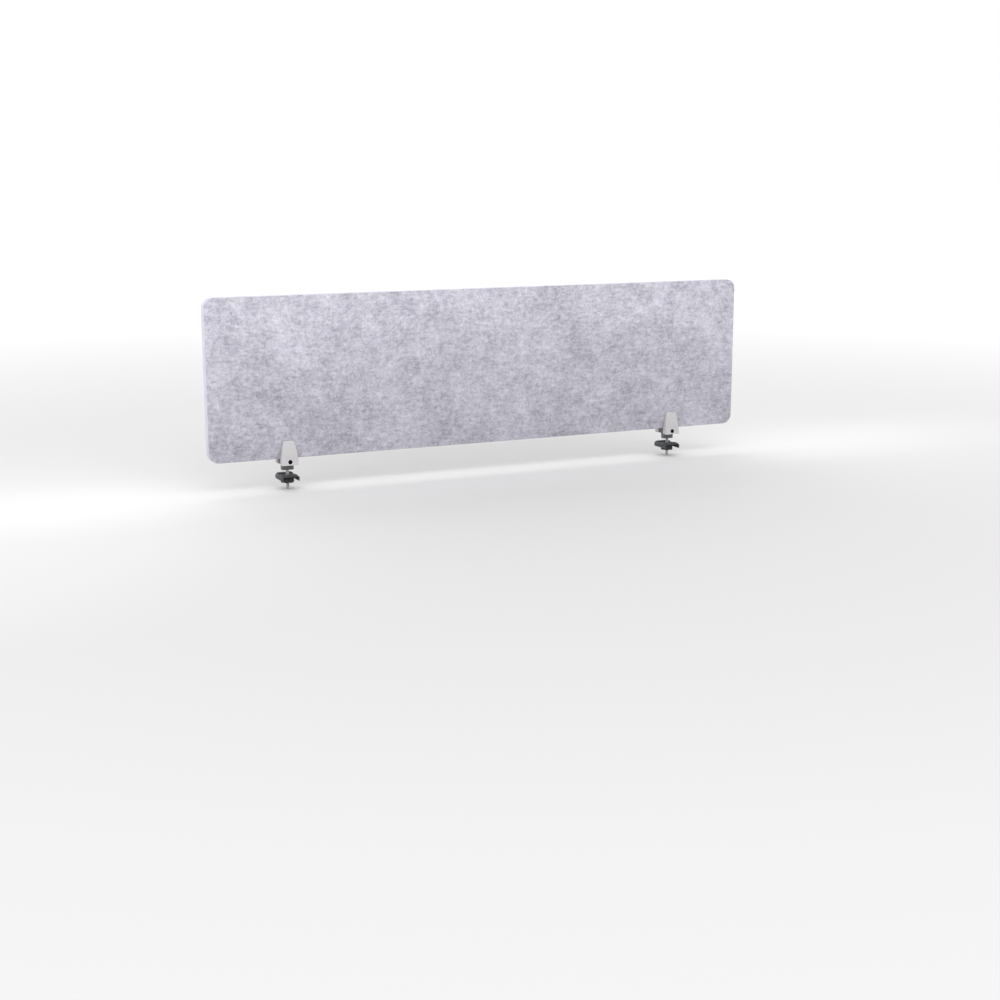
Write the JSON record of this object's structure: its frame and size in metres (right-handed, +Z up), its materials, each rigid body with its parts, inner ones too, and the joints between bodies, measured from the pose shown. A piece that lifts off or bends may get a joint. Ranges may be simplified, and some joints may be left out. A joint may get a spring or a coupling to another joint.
{
  "type": "desk privacy panel",
  "caption": "Upright felt desk divider with rounded corners, held over the gap between worktops by tapered clamp brackets tightened from below.",
  "frame": {"origin": "on the worktops' top surface, at the middle of the gap between them and of the panel's length", "axes": "+X along the panel, +Y across it towards the far worktop, +Z up"},
  "size_m": [1.49, 0.06, 0.478],
  "materials": {
    "felt": "matte",
    "jaw_paint": "satin",
    "grip_rubber": "matte",
    "foot_rubber": "matte",
    "saddle_nylon": "matte",
    "black_steel": "satin",
    "brass": "satin",
    "zinc_steel": "satin",
    "plate_paint": "satin",
    "knob_plastic": "matte"
  },
  "bodies": {
    "panel": {"front_board": "felt", "rear_board": "felt", "left_rear_jaw": "jaw_paint", "left_rear_pad": "grip_rubber", "left_rear_foot": "foot_rubber", "left_saddle": "saddle_nylon", "left_saddle_pad": "grip_rubber", "left_sleeve_nut": "black_steel", "left_stud_insert": "brass", "left_stud": "zinc_steel", "right_rear_jaw": "jaw_paint", "right_rear_pad": "grip_rubber", "right_rear_foot": "foot_rubber", "right_saddle": "saddle_nylon", "right_saddle_pad": "grip_rubber", "right_sleeve_nut": "black_steel", "right_stud_insert": "brass", "right_stud": "zinc_steel"},
    "left_front_jaw": {"left_front_jaw": "jaw_paint", "left_front_pad": "grip_rubber", "left_front_foot": "foot_rubber"},
    "left_jaw_bolt": {"left_jaw_bolt": "black_steel"},
    "left_clamp": {"left_clamp_plate": "plate_paint", "left_clamp_pads": "grip_rubber", "left_washer": "zinc_steel"},
    "left_knob": {"left_knob": "knob_plastic", "left_knob_insert": "brass"},
    "right_front_jaw": {"right_front_jaw": "jaw_paint", "right_front_pad": "grip_rubber", "right_front_foot": "foot_rubber"},
    "right_jaw_bolt": {"right_jaw_bolt": "black_steel"},
    "right_clamp": {"right_clamp_plate": "plate_paint", "right_clamp_pads": "grip_rubber", "right_washer": "zinc_steel"},
    "right_knob": {"right_knob": "knob_plastic", "right_knob_insert": "brass"}
  },
  "joints": [
    {"name": "left_jaw_slide", "type": "slide", "parent": "panel", "child": "left_front_jaw", "axis": [0, -1, 0], "range_m": [0, 0.004]},
    {"name": "left_bolt_spin", "type": "hinge", "parent": "left_front_jaw", "child": "left_jaw_bolt", "pos_m": [-0.546, -0.02, 0.0085], "axis": [0, -1, 0], "range_deg": [0, 1440]},
    {"name": "left_clamp_slide", "type": "slide", "parent": "panel", "child": "left_clamp", "axis": [0, 0, 1], "range_m": [-0.015, 0.007]},
    {"name": "left_knob_spin", "type": "hinge", "parent": "left_clamp", "child": "left_knob", "pos_m": [-0.546, 0, -0.038], "axis": [0, 0, 1], "range_deg": [-4320, 2016]},
    {"name": "right_jaw_slide", "type": "slide", "parent": "panel", "child": "right_front_jaw", "axis": [0, -1, 0], "range_m": [0, 0.004]},
    {"name": "right_bolt_spin", "type": "hinge", "parent": "right_front_jaw", "child": "right_jaw_bolt", "pos_m": [0.546, -0.02, 0.0085], "axis": [0, -1, 0], "range_deg": [0, 1440]},
    {"name": "right_clamp_slide", "type": "slide", "parent": "panel", "child": "right_clamp", "axis": [0, 0, 1], "range_m": [-0.015, 0.007]},
    {"name": "right_knob_spin", "type": "hinge", "parent": "right_clamp", "child": "right_knob", "pos_m": [0.546, 0, -0.038], "axis": [0, 0, 1], "range_deg": [-4320, 2016]}
  ],
  "couplings": [
    {"joint": "left_bolt_spin", "follows": "left_jaw_slide", "rad_per_m": 6283.2},
    {"joint": "left_knob_spin", "follows": "left_clamp_slide", "rad_per_m": 5026.5},
    {"joint": "right_bolt_spin", "follows": "right_jaw_slide", "rad_per_m": 6283.2},
    {"joint": "right_knob_spin", "follows": "right_clamp_slide", "rad_per_m": 5026.5}
  ]
}
